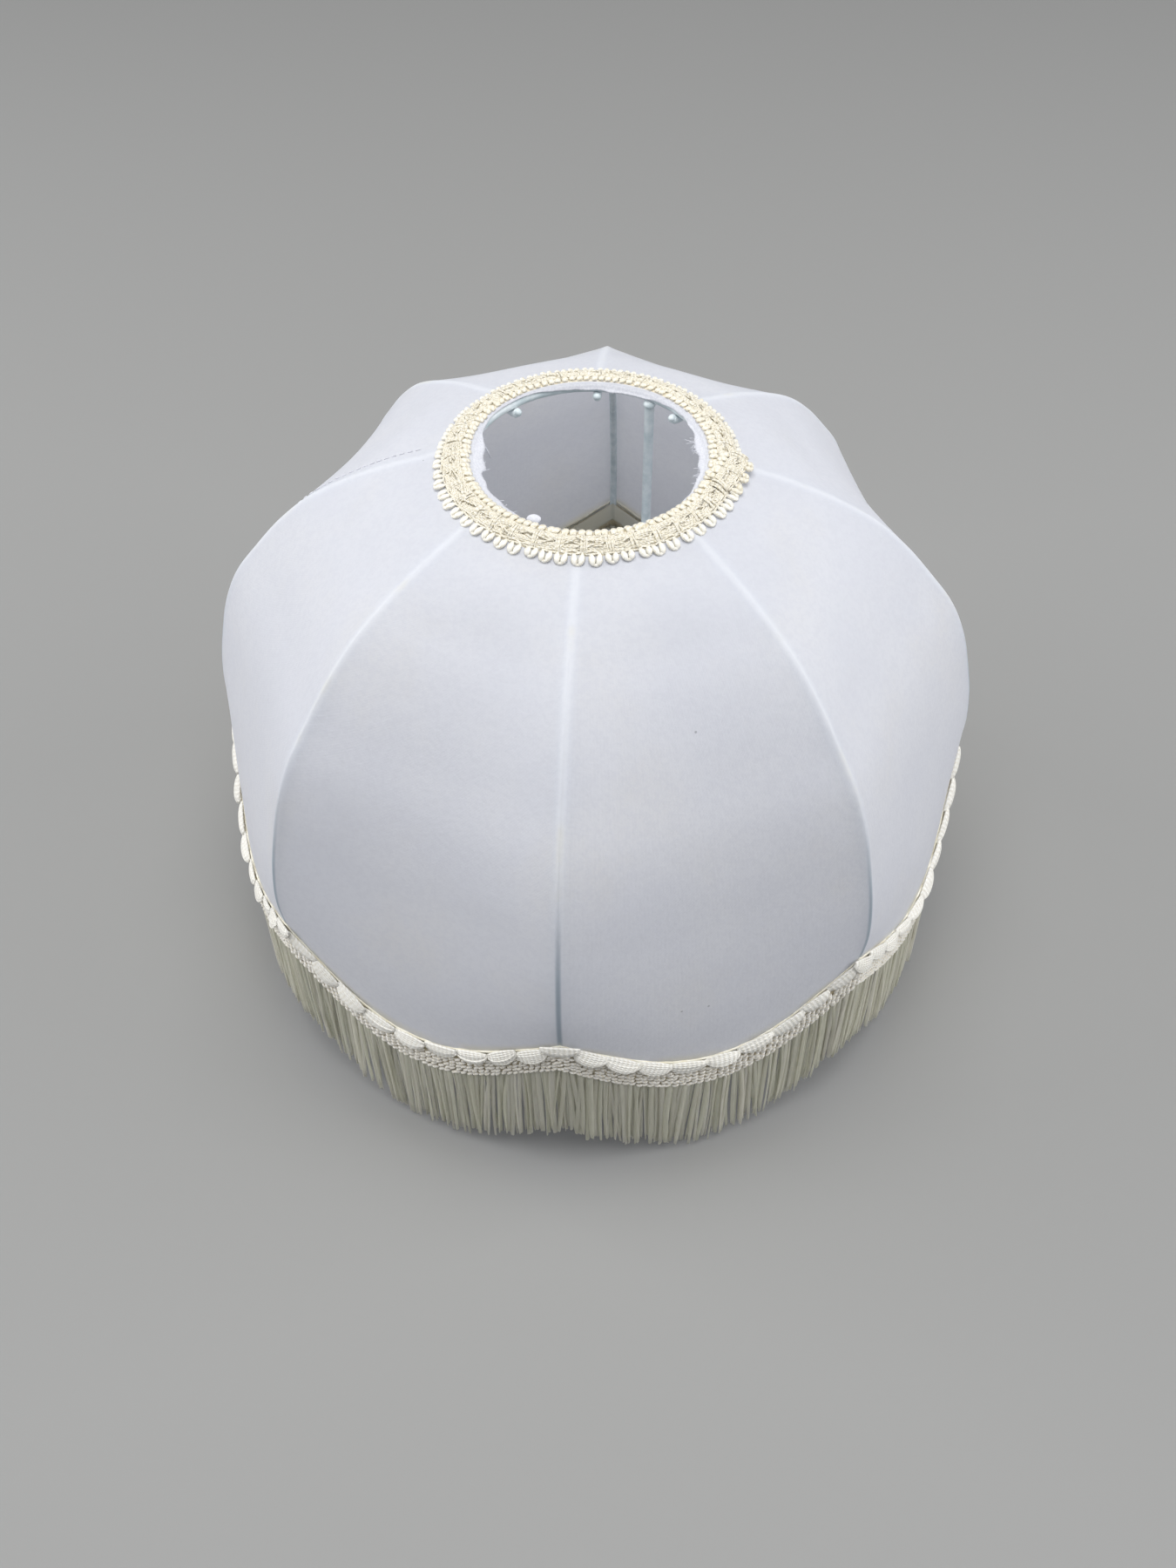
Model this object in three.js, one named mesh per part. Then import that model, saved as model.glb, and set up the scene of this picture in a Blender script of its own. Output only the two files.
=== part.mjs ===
// Fringed bell lamp shade: eight-rib wire frame, stretched cover, braids and fringe.
// Millimetres, +Z up, origin in the middle of the fitter ring's underside.
import * as THREE from 'three';

// ---------- driving dimensions ----------
const RIBS = 8;
const HALF_ANGLE = Math.PI / RIBS;

// heights are measured down from the crest of the shade and lifted by this much
const CREST_Z = 70;

// crest line of the cover over a rib, [radius, drop below the crest]
const RIB_CREST = [
  [36.5, 0.4], [46.5, 3.9], [59.5, 8.3], [72.2, 13.8], [84.1, 20.8], [94.3, 29.9], [103.3, 40.4],
  [111.6, 51.4], [117.4, 63.8], [121.3, 77.1], [124.3, 90.6], [125.7, 104.1], [124.8, 118.0],
];

// fineness of the faceted solids
const CREST_DIVISIONS = 400;
const COVER_ROWS = 12;
const COVER_COLUMNS = 8;
const BAND_COLUMNS = 10;
const RING_SEGMENTS = 48;
const WIRE_SIDES = 8;
const RIB_STEPS = 25;
const HEM_STEPS = 12;
const STRUT_STEPS = 16;
const BEND_STEPS = 4;
const FOLD_STEPS = 5;

const CLOTH = 0.6;
const GAP = 0.3;
const SEAM_GAP = 0.3;
const RIB_CLEAR = 0.75;      // cloth stands this far off a rib, and further off the lower wire
const HEM_CLEAR = 1.0;
const SADDLE = 2.4;          // how far the cloth draws in half way between two ribs
const ROUND_UNTIL = 0.08;    // share of the crest line that stays round under the top braid
const ROUND_FADE = 0.2;

const RING_WIRE = 1.6;       // wire radii
const RIB_WIRE = 1.3;
const HEM_WIRE = 1.5;
const STRUT_WIRE = 1.5;

const RING_RADIUS = 35.2;
const RING_DROP = 2.6;
const RIB_TIP_RADIUS = 31.6;
const RIB_TIP_DROP = 6.1;

const SCALLOP_DIP = 20.7;    // how far the lower edge hangs between two ribs
const SCALLOP_BULGE = 6.5;
const BULGE_FROM = 0.55;     // share of the crest line where the bulge starts
const HEM_DROP = 4.6;        // lower wire below the upper edge of the braid
const HEM_TURN_UP = 7;
const HEM_END_GAP = 1.1;     // each end of a lower wire stops this far short of its rib

// the cloth goes over the top ring from inside (185 degrees) to the crest (80 degrees)
const RING_FOLD_INSIDE = 185;
const RING_FOLD_CREST = 80;
const RING_FOLD_HIDDEN = 2;  // steps of that fold that the top braid leaves bare

const TOP_BRAID_OUTER = 45.3;
const TOP_BRAID_THICKNESS = 1.7;
const TOP_BRAID_CLEAR = 0.5;

const BRAID_HEIGHT = 8.6;
const BRAID_THICKNESS = 1.7;
const HEADING_TOP = 2.0;
const HEADING_BOTTOM = 14.0;
const HEADING_THICKNESS = 1.0;
const FRINGE_BOTTOM = 51.0;
const FRINGE_THICKNESS = 1.8;

const STRUT_ANGLES = [62, 186, 302];
const STRUT_RADIUS = 34.0;
const STRUT_BEND = 9.0;
const STRUT_END = 19.2;
const FITTER_HOLE = 14.7;
const FITTER_OUTER = 21.0;
const FITTER_THICKNESS = 1.6;

// ---------- materials ----------
const paint = new THREE.MeshStandardMaterial({ color: 0xcfdadd, roughness: 0.45, metalness: 0.1 });
const cloth = new THREE.MeshStandardMaterial({ color: 0xe4e5ec, roughness: 0.85, metalness: 0 });
const cream = new THREE.MeshStandardMaterial({ color: 0xe6dfc9, roughness: 0.6, metalness: 0 });
const thread = new THREE.MeshStandardMaterial({ color: 0xddd8c6, roughness: 0.55, metalness: 0 });
const strand = new THREE.MeshStandardMaterial({ color: 0xcbc9b8, roughness: 0.4, metalness: 0 });

const shade = new THREE.Group();

function addPart(name, geometry, material) {
  const mesh = new THREE.Mesh(geometry, material);
  mesh.name = name;
  shade.add(mesh);
}

// ---------- shape of the cover ----------
const crestCurve = new THREE.CatmullRomCurve3(
  RIB_CREST.map(([r, drop]) => new THREE.Vector3(r, 0, -drop)), false, 'centripetal');
crestCurve.arcLengthDivisions = CREST_DIVISIONS;

function clamp01(x) {
  return Math.min(1, Math.max(0, x));
}

// Radius and height of the cover's outer face: v runs down the crest line, s across a gore.
function coverPoint(v, s) {
  const crest = crestCurve.getPointAt(clamp01(v));
  const straight = crest.x * Math.cos(HALF_ANGLE) / Math.cos(s * HALF_ANGLE);
  const fade = clamp01((v - ROUND_UNTIL) / ROUND_FADE);
  const round = 1 - fade * fade * (3 - 2 * fade);
  const across = Math.cos(s * Math.PI / 2);
  const low = clamp01((v - BULGE_FROM) / (1 - BULGE_FROM));
  let radius = straight + (crest.x - straight) * round;
  radius -= SADDLE * (1 - s * s) * Math.sin(Math.PI * v) * (1 - round);
  radius += SCALLOP_BULGE * across * low * low;
  const height = CREST_Z + crest.z - SCALLOP_DIP * across * v * v * v;
  return [radius, height];
}

// Centre of the lower wire under the cover's edge.
function hemWirePoint(s) {
  const [radius, height] = coverPoint(1, s);
  return [radius - CLOTH - HEM_CLEAR - HEM_WIRE, height - HEM_DROP];
}

function arcPoints(centre, radius, fromDegrees, toDegrees, steps) {
  const points = [];
  for (let i = 0; i <= steps; i += 1) {
    const a = THREE.MathUtils.degToRad(fromDegrees + (toDegrees - fromDegrees) * i / steps);
    points.push([centre[0] + radius * Math.cos(a), centre[1] + radius * Math.sin(a)]);
  }
  return points;
}

// Outer face of the cloth in the plane at s: over the top ring, down the side, round the hem.
function coverSection(s) {
  const ringCentre = [RING_RADIUS, CREST_Z - RING_DROP];
  const hemRadius = HEM_WIRE + HEM_CLEAR + CLOTH;
  const foldRadius = RING_WIRE + GAP + CLOTH;
  const points = arcPoints(ringCentre, foldRadius, RING_FOLD_INSIDE, RING_FOLD_CREST, BEND_STEPS);
  for (let i = 1; i <= COVER_ROWS; i += 1) {
    points.push(coverPoint(i / COVER_ROWS, s));
  }
  const hem = hemWirePoint(s);
  points.push(...arcPoints(hem, hemRadius, 0, -180, FOLD_STEPS));
  points.push([hem[0] - hemRadius, hem[1] + HEM_TURN_UP]);
  return points;
}

// Shifts an open line of [radius, height] points sideways, to its right as it is followed.
function offsetLine(points, distance) {
  return points.map((p, i) => {
    const a = points[Math.max(0, i - 1)];
    const b = points[Math.min(points.length - 1, i + 1)];
    const length = Math.hypot(b[0] - a[0], b[1] - a[1]);
    const side = [(b[1] - a[1]) / length, -(b[0] - a[0]) / length];
    return [p[0] + side[0] * distance, p[1] + side[1] * distance];
  });
}

// ---------- solids ----------
function toWorld([radius, height], angle) {
  return [radius * Math.cos(angle), radius * Math.sin(angle), height];
}

// Closed solid between two faces given as columns of world points.
function sheetSolid(front, back, ring) {
  const columns = front.length;
  const rows = front[0].length;
  const positions = [...front.flat(), ...back.flat()].flat();
  const indices = [];
  const at = (face, i, j) => face * columns * rows + (i % columns) * rows + j;
  const quad = (a, b, c, d) => indices.push(a, b, c, a, c, d);
  const spans = ring ? columns : columns - 1;
  for (let i = 0; i < spans; i += 1) {
    for (let j = 0; j < rows - 1; j += 1) {
      quad(at(0, i, j), at(0, i, j + 1), at(0, i + 1, j + 1), at(0, i + 1, j));
      quad(at(1, i, j), at(1, i + 1, j), at(1, i + 1, j + 1), at(1, i, j + 1));
    }
    quad(at(0, i, 0), at(0, i + 1, 0), at(1, i + 1, 0), at(1, i, 0));
    const last = rows - 1;
    quad(at(0, i, last), at(1, i, last), at(1, i + 1, last), at(0, i + 1, last));
  }
  if (!ring) {
    for (let j = 0; j < rows - 1; j += 1) {
      quad(at(0, 0, j), at(1, 0, j), at(1, 0, j + 1), at(0, 0, j + 1));
      quad(at(0, spans, j), at(0, spans, j + 1), at(1, spans, j + 1), at(1, spans, j));
    }
  }
  const geometry = new THREE.BufferGeometry();
  geometry.setAttribute('position', new THREE.Float32BufferAttribute(positions, 3));
  geometry.setIndex(indices);
  geometry.computeVertexNormals();
  return geometry;
}

function tubeAlong(points, radius, steps) {
  const vectors = points.map((p) => new THREE.Vector3(...p));
  const extrudePath = new THREE.CatmullRomCurve3(vectors, false, 'centripetal');
  const section = new THREE.Shape();
  section.absarc(0, 0, radius, 0, Math.PI * 2, false);
  return new THREE.ExtrudeGeometry(section, { steps, extrudePath, curveSegments: WIRE_SIDES / 2 });
}

function lathe(profile) {
  const points = profile.map(([r, z]) => new THREE.Vector2(r, z));
  points.push(points[0].clone());
  const geometry = new THREE.LatheGeometry(points, RING_SEGMENTS);
  geometry.rotateX(Math.PI / 2);
  return geometry;
}

// ---------- wire frame ----------
function topRing() {
  const geometry = new THREE.TorusGeometry(RING_RADIUS, RING_WIRE, WIRE_SIDES, RING_SEGMENTS);
  geometry.translate(0, 0, CREST_Z - RING_DROP);
  return geometry;
}

function rib(angle) {
  const crest = [];
  const samples = 2 * COVER_ROWS;
  for (let i = 1; i <= samples; i += 1) {
    crest.push(coverPoint(i / samples, 1));
  }
  const under = offsetLine(crest, CLOTH + RIB_CLEAR + RIB_WIRE);
  const line = [
    [RIB_TIP_RADIUS, CREST_Z - RIB_TIP_DROP],
    [RING_RADIUS, CREST_Z - RIB_TIP_DROP],
    ...under.slice(1, -1),
  ];
  const [hemRadius, hemHeight] = hemWirePoint(1);
  line.push([hemRadius, hemHeight + HEM_WIRE + GAP]);
  return tubeAlong(line.map((p) => toWorld(p, angle)), RIB_WIRE, RIB_STEPS);
}

function hemArc(middleAngle) {
  const points = [];
  const endShare = 1 - HEM_END_GAP / (hemWirePoint(1)[0] * HALF_ANGLE);
  for (let i = 0; i <= HEM_STEPS; i += 1) {
    const s = endShare * (2 * i / HEM_STEPS - 1);
    points.push(toWorld(hemWirePoint(s), middleAngle + s * HALF_ANGLE));
  }
  return tubeAlong(points, HEM_WIRE, HEM_STEPS);
}

function fitterStrut(angle) {
  const top = CREST_Z - RING_DROP - RING_WIRE - GAP;
  const low = FITTER_THICKNESS + GAP + STRUT_WIRE;
  const bendCentre = [STRUT_RADIUS - STRUT_BEND, low + STRUT_BEND];
  const bend = arcPoints(bendCentre, STRUT_BEND, 0, -90, BEND_STEPS);
  const line = [[STRUT_RADIUS, top], [STRUT_RADIUS, (top + low) / 2], ...bend, [STRUT_END, low]];
  return tubeAlong(line.map((p) => toWorld(p, angle)), STRUT_WIRE, STRUT_STEPS);
}

function fitterRing() {
  return lathe([
    [FITTER_HOLE, 0],
    [FITTER_OUTER, 0],
    [FITTER_OUTER, FITTER_THICKNESS],
    [FITTER_HOLE, FITTER_THICKNESS],
  ]);
}

// ---------- cover ----------
function coverGore(middleAngle) {
  const front = [];
  const back = [];
  for (let i = 0; i <= COVER_COLUMNS; i += 1) {
    const s = 2 * i / COVER_COLUMNS - 1;
    const outer = coverSection(s);
    const inner = offsetLine(outer, CLOTH);
    const place = (p) => {
      const half = HALF_ANGLE - SEAM_GAP / 2 / p[0];
      return toWorld(p, middleAngle + s * half);
    };
    front.push(outer.map(place));
    back.push(inner.map(place));
  }
  return sheetSolid(front, back, false);
}

// ---------- trims ----------
function topBraid() {
  const cover = coverSection(1).slice(RING_FOLD_HIDDEN, BEND_STEPS + 2);
  const [start, end] = cover.slice(-2);
  const share = (TOP_BRAID_OUTER - start[0]) / (end[0] - start[0]);
  cover[cover.length - 1] = [TOP_BRAID_OUTER, start[1] + (end[1] - start[1]) * share];
  const under = offsetLine(cover, -TOP_BRAID_CLEAR);
  const over = offsetLine(cover, -TOP_BRAID_CLEAR - TOP_BRAID_THICKNESS).reverse();
  return lathe([...under, ...over]);
}

// Band round the lower edge, its top and bottom given below the edge of the cover.
function edgeBand(top, bottom, standOff, thickness, rows) {
  const front = [];
  const back = [];
  for (let k = 0; k < RIBS * BAND_COLUMNS; k += 1) {
    const gore = Math.floor(k / BAND_COLUMNS);
    const s = 2 * (k % BAND_COLUMNS) / BAND_COLUMNS - 1;
    const angle = goreAngle(gore) + s * HALF_ANGLE;
    const [radius, height] = coverPoint(1, s);
    const line = [];
    for (let j = 0; j <= rows; j += 1) {
      line.push([radius + standOff, height - top - (bottom - top) * j / rows]);
    }
    front.push(line.map(([r, z]) => toWorld([r + thickness, z], angle)));
    back.push(line.map((p) => toWorld(p, angle)));
  }
  return sheetSolid(front, back, true);
}

function ribAngle(k) {
  return -Math.PI / 2 + k * 2 * HALF_ANGLE;
}

function goreAngle(k) {
  return ribAngle(k) + HALF_ANGLE;
}

// ---------- assembly ----------
addPart('top_ring', topRing(), paint);
for (let k = 0; k < RIBS; k += 1) {
  addPart(`rib_${k + 1}`, rib(ribAngle(k)), paint);
  addPart(`hem_wire_${k + 1}`, hemArc(goreAngle(k)), paint);
}
STRUT_ANGLES.forEach((degrees, k) => {
  addPart(`fitter_strut_${k + 1}`, fitterStrut(THREE.MathUtils.degToRad(degrees)), paint);
});
addPart('fitter_ring', fitterRing(), paint);

for (let k = 0; k < RIBS; k += 1) {
  addPart(`cover_gore_${k + 1}`, coverGore(goreAngle(k)), cloth);
}

addPart('top_braid', topBraid(), cream);
addPart('fringe_heading', edgeBand(HEADING_TOP, HEADING_BOTTOM, GAP, HEADING_THICKNESS, 1), thread);
addPart('bottom_braid',
  edgeBand(0, BRAID_HEIGHT, 2 * GAP + HEADING_THICKNESS, BRAID_THICKNESS, 1), cream);
addPart('fringe', edgeBand(HEADING_BOTTOM + GAP, FRINGE_BOTTOM, 0, FRINGE_THICKNESS, 2), strand);

export default shade;
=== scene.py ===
"""Looks of the fringed bell lamp shade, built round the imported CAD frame."""

import math
import random

import bpy
import numpy as np
from mathutils import Matrix, Vector


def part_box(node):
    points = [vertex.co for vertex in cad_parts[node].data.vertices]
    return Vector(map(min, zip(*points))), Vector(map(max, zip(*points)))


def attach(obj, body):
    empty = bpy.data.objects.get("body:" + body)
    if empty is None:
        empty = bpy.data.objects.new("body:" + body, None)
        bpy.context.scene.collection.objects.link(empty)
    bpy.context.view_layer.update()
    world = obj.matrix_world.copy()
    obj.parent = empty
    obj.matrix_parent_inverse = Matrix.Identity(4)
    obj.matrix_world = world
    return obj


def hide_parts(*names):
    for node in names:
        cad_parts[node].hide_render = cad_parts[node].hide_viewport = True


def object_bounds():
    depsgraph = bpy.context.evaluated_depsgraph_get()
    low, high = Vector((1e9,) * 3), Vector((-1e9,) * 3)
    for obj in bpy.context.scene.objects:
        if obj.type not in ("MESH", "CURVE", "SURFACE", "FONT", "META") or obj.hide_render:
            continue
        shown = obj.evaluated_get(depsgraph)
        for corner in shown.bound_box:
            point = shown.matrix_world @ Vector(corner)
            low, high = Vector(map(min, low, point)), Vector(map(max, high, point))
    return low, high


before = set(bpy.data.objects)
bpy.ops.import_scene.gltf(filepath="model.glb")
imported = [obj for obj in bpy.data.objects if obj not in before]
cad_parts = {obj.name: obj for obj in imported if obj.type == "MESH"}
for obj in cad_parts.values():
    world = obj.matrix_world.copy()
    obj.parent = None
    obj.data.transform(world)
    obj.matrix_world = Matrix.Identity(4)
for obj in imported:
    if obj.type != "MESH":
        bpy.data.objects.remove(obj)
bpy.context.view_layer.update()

# ---------- driving sizes, in millimetres, as in the CAD ----------
MM = 0.001
RIBS = 8
HALF = math.pi / RIBS
RIB_CREST = [
    (36.5, 0.4), (46.5, 3.9), (59.5, 8.3), (72.2, 13.8), (84.1, 20.8), (94.3, 29.9), (103.3, 40.4),
    (111.6, 51.4), (117.4, 63.8), (121.3, 77.1), (124.3, 90.6), (125.7, 104.1), (124.8, 118.0),
]
RING_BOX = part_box("top_ring")
RING_WIRE = (RING_BOX[1].z - RING_BOX[0].z) / MM / 2
RING_RADIUS = RING_BOX[1].x / MM - RING_WIRE
RING_Z = (RING_BOX[1].z + RING_BOX[0].z) / MM / 2
CREST_Z = RING_Z + 2.6
CLOTH = 0.5
SADDLE = 2.4
ROUND_UNTIL = 0.08
ROUND_FADE = 0.2
SCALLOP_DIP = 20.7
SCALLOP_BULGE = 6.5
RIB_WIRE = 1.3
HEM_WIRE = 1.5
STRUT_WIRE = 1.5
HEM_CLEAR = 0.25
HEM_DROP = 4.6
HEM_TURN_UP = 7.0
STRUT_ANGLES = (62, 186, 302)
STRUT_RADIUS = 34.0
FITTER_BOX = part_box("fitter_ring")
FITTER_OUTER = FITTER_BOX[1].x / MM
FITTER_THICKNESS = FITTER_BOX[1].z / MM
FITTER_HOLE = 14.7
FRINGE_BOTTOM = 51.0
SEAM_AZIMUTH = math.pi
SEAM_BEHIND = 4.2
JOIN_AZIMUTH = math.radians(-9.6)

# ---------- cover: millimetres, shares of the way down, or counts of mesh rows and columns ----------
CREST_SAMPLES = 40
CREST_STEPS = 600
EDGE_SAMPLES = 4001
BULGE_FROM = 0.55
SOFT_DRAW = 0.3
COVER_TOP = 0.006
RING_WRAP = (122, 82)
HEM_FOLD = (0.02, 0.2)
KNIT_COLUMNS = 620
COURSE_PITCH = 0.95
GORE_COLUMNS = 45
COLUMN_CROWDING = 1.6
COVER_ROWS = 96
RING_ROWS = 5
HEM_ROWS = 17
HEM_UPRIGHT_ROWS = 6
TOP_FADE = 30
HEM_FADE = 20
RIB_RIDGE = 0.26
RIB_RIDGE_WIDTH = 1.3
SEAM_GROOVE = 0.12
SEAM_WIDTH = 0.6
STITCHES_FROM_TO = (0.085, 0.93)
STITCH_PITCH = 0.0165
STITCH_LENGTH = 0.0095
STITCH_THREAD = 0.17
# bearing in degrees, half width in radians and extra reach in millimetres of each flap of cloth
FLAPS = (
    (184, 0.42, 4.6), (222, 0.32, 3.8), (8, 0.4, 3.2),
    (335, 0.25, 1.5), (82, 0.4, 1.6), (268, 0.6, 1.5),
)
BARE_RING = 140
BARE_WIDTH = 0.42
TURN_COLUMNS = 420
TURN_ROWS = 9
TURN_AIR = 0.35
TURN_START = 1.2
TURN_HUG = 1.25
TURN_THICK = 0.4
# bearing in degrees, spread in radians and number of the frayed fibres
TUFTS = ((184, 0.25, 9), (222, 0.2, 7), (16, 0.07, 26), (352, 0.05, 22))
FIBRE_THREAD = 0.08
HANGING_THREAD = 0.26
HANGING_THREAD_AT = 170
GLUE_LUMP = (2.0, 1.5, 1.1)
GLUE_LUMP_AT = 246.5

# ---------- wires: millimetres; STEPS run along a wire and SIDES round it ----------
RING_STEPS = 144
RING_SIDES = 16
WIRE_SIDES = 12
RIB_STEPS = 110
RIB_SPAN = (0.05, 0.995)
RIB_AIR = 0.15
RIB_TIP = ((32.4, 4.2), (33.0, 5.1), (RING_RADIUS, 5.6))
RIB_WELD = (1.5, 1.5, 1.2)
HEM_STEPS = 40
HEM_GAP = 0.001
STRUT_SIDES = 14
STRUT_STEPS = 60
STRUT_STRAIGHT_TO = 20
STRUT_BEND = 7
STRUT_FLAT_FROM = 24
STRUT_FOOT = 18.8
STRUT_WELD = (1.9, 1.9, 1.5)
STRUT_FOOT_WELD = (1.9, 1.9, 1.6)
WASHER_EDGE = 0.35
FITTER_STEPS = 96

# ---------- trims: millimetres; names with THREAD are radii ----------
THREAD_SIDES = 6
SATIN_SIDES = 8
GIMP_MIDDLE = 39.0
GIMP_CELL = 6.7
WRAP_RADIUS = 40
GIMP_DROOP = 0.7
GIMP_THREAD = 0.31
GIMP_STRAY = 0.27
GIMP_BINDING = 0.28
GIMP_WRAPS = (-0.75, -0.3, 0.15, 0.6)
# share of the cell's size and height of each nested loop
GIMP_LOOPS = ((1.0, 0.5), (0.8, 0.75), (0.6, 0.85), (0.4, 0.7), (0.2, 0.45))
# radius and height above the cover
GIMP_CORDS = ((36.9, 0.35), (37.4, 0.5), (40.9, 0.5), (41.4, 0.55), (41.9, 0.4))
GIMP_CORE = ((34.1, 0.1), (35.0, 0.3), (37.5, 0.35), (40.0, 0.35), (42.0, 0.25), (42.3, 0.0))
CORE_STEPS = 192
PICOT_ROOT = 41.7
PICOT_REACH = 3.35
PICOT_HALF = 1.1
PICOT_PITCH = 4.25
PICOT_THREAD = 0.97
PICOT_FLAT = 0.75
RUNG_INNER = 34.0
RUNG_OUTER = 36.7
RUNG_PITCH = 2.25
RUNG_THREAD = 1.08
RUNG_FLAT = 0.5
FLARE = math.radians(26)
GLUE_STEPS = 1400
GLUE_ABOVE = 0.55
LEAF_PITCH = 10.9
LEAF_LENGTH = 12.2
LEAF_HEIGHT = 3.7
LEAF_ABOVE = 0.85
LEAF_CORDS = 7
LEAF_THREAD = 0.46
HITCH_AZIMUTH = -1.64
HITCH_RISE = 2.4
HITCH_WIDTH = 0.13
CHAIN_ROWS = (4.6, 6.5, 8.4, 10.3, 12.2)
CHAIN_PITCH = 2.1
CHAIN_HALF = 1.15
# drop below the lower edge and distance out from it, round the tape's section
TAPE_SECTION = ((1.0, 0.1), (4.0, 0.5), (8.0, 0.6), (13.2, 0.5), (13.4, 0.1), (8.0, 0.0), (1.0, -0.05))
TAPE_STEPS = 960
# distance out, pitch and half width of the strands of each layer
FRINGE_LAYERS = ((-0.3, 1.15, 0.72), (0.6, 1.2, 0.76))
STRAND_ROOT = 12.0
STRAND_FLAT = 0.38
STRAND_CLEAR = 0.3
MISSING_STRANDS = 0.035
STRAY_STRANDS = 0.05

# ---------- stage: metres, watts and degrees ----------
FLOOR_GAP = 0.0015
FLOOR_SIZE = 6
FLOOR_COLOUR = (0.28, 0.28, 0.275)
SKY_COLOUR = (0.95, 0.97, 1.0)
SKY_STRENGTH = 0.29
# name, place, size and power
LAMPS = (
    ("overhead", (0.0, -0.16, 1.55), 1.3, 25.5),
    ("left", (-1.5, 0.1, 0.4), 1.2, 16),
    ("right", (1.5, 0.1, 0.45), 1.2, 13.8),
)
CAMERA_PLACE = (0.0262, -0.3350, 0.3223)
# downward pitch, heading and roll
CAMERA_TURNS = (49.92, -4.686, -0.6)
LENS = 44.06
SENSOR = 36

# least length to divide by, steepest run of a level tube, and the range of a wave's random phase
TINY = 1e-9
STEEP = 0.9
PHASES = 6.28
SEED = 11
rng = np.random.default_rng(SEED)
random.seed(SEED)


# ---------- mesh helpers ----------
def add_mesh(name, points, faces, material, slot, smooth=True):
    """A mesh piece from millimetre points, riding on the shade's one body."""
    mesh = bpy.data.meshes.new(name)
    mesh.from_pydata((np.asarray(points, float) * MM).tolist(), [], [list(f) for f in faces])
    mesh.validate()
    mesh.update()
    mesh.polygons.foreach_set("use_smooth", [smooth] * len(mesh.polygons))
    piece = bpy.data.objects.new(name, mesh)
    bpy.context.scene.collection.objects.link(piece)
    mesh.materials.append(material)
    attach(piece, "root")
    return piece


def add_attribute(piece, name, values, domain="POINT"):
    """A number or vector per point, or per face corner, that the piece's material reads."""
    values = np.asarray(values, np.float32)
    vector = values.ndim == 2
    made = piece.data.attributes.new(name, "FLOAT_VECTOR" if vector else "FLOAT", domain)
    made.data.foreach_set("vector" if vector else "value", values.ravel())


def grid_faces(rows, columns, ring=False):
    """Faces between neighbouring columns of points, each column from its first row to its last."""
    faces = []
    for i in range(columns if ring else columns - 1):
        k = (i + 1) % columns
        for j in range(rows - 1):
            faces.append((i * rows + j, k * rows + j, k * rows + j + 1, i * rows + j + 1))
    return faces


def polar(radius, angle, height):
    return np.stack([radius * np.cos(angle), radius * np.sin(angle), height + 0 * radius], -1)


def full_turn(count, start=-math.pi / 2):
    """Azimuths evenly spaced right round, from the front unless said otherwise."""
    return np.linspace(start, start + 2 * math.pi, count, endpoint=False)


def unit(vectors):
    return vectors / np.maximum(np.linalg.norm(vectors, axis=-1, keepdims=True), TINY)


def tube(line, radius, sides=8, ring=False, flat=1.0, facing=None):
    """Points, faces and thread coordinates of a tube along a line; flat squeezes it along facing."""
    line = np.asarray(line, float)
    count = len(line)
    if ring:
        ahead = unit(np.roll(line, -1, 0) - np.roll(line, 1, 0))
    else:
        ahead = unit(np.gradient(line, axis=0))
    if facing is None:
        facing = np.tile([0.0, 0.0, 1.0], (count, 1))
        if (np.abs(ahead[:, 2]) > STEEP).any():
            facing = unit(line * [1.0, 1.0, 0.0])
    side = unit(np.cross(ahead, facing))
    up = np.cross(side, ahead)
    radius = np.broadcast_to(np.asarray(radius, float), (count,))[:, None]
    length = np.r_[0, np.cumsum(np.linalg.norm(np.diff(line, axis=0), axis=1))]
    points, thread = [], []
    for k in range(sides):
        turn = 2 * math.pi * k / sides
        points.append(line + radius * (math.cos(turn) * side + flat * math.sin(turn) * up))
        thread.append(np.stack([length, 0 * length + math.cos(turn), 0 * length + math.sin(turn)], 1))
    points = np.stack(points, 1).reshape(-1, 3)
    thread = np.stack(thread, 1).reshape(-1, 3)
    faces = []
    for i in range(count if ring else count - 1):
        j = (i + 1) % count
        for k in range(sides):
            m = (k + 1) % sides
            faces.append((i * sides + k, i * sides + m, j * sides + m, j * sides + k))
    if not ring:
        faces.append(tuple(range(sides - 1, -1, -1)))
        faces.append(tuple((count - 1) * sides + k for k in range(sides)))
    return points, faces, thread


def join_parts(parts):
    """One list of points and faces from several."""
    points, faces, start = [], [], 0
    for part in parts:
        points.append(part[0])
        faces.extend(tuple(i + start for i in face) for face in part[1])
        start += len(part[0])
    return np.concatenate(points), faces


def add_threads(name, parts, material, slot):
    """A piece made of many tubes, with the thread coordinates its material twists the plies by."""
    piece = add_mesh(name, *join_parts(parts), material, slot)
    add_attribute(piece, "thread", np.concatenate([part[2] for part in parts]))
    return piece


def ball(centre, size, segments=14, rows=10):
    """A small ellipsoid; size is its three half lengths."""
    points = []
    for i in range(rows + 1):
        lift = math.pi * (i / rows - 0.5)
        for k in range(segments):
            turn = 2 * math.pi * k / segments
            local = np.array([math.cos(lift) * math.cos(turn),
                              math.cos(lift) * math.sin(turn), math.sin(lift)])
            points.append(centre + local * size)
    faces = []
    for i in range(rows):
        low, high = i * segments, (i + 1) * segments
        for k in range(segments):
            m = (k + 1) % segments
            faces.append((low + k, low + m, high + m, high + k))
    points = np.array(points)
    return points, faces, np.zeros_like(points)


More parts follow.
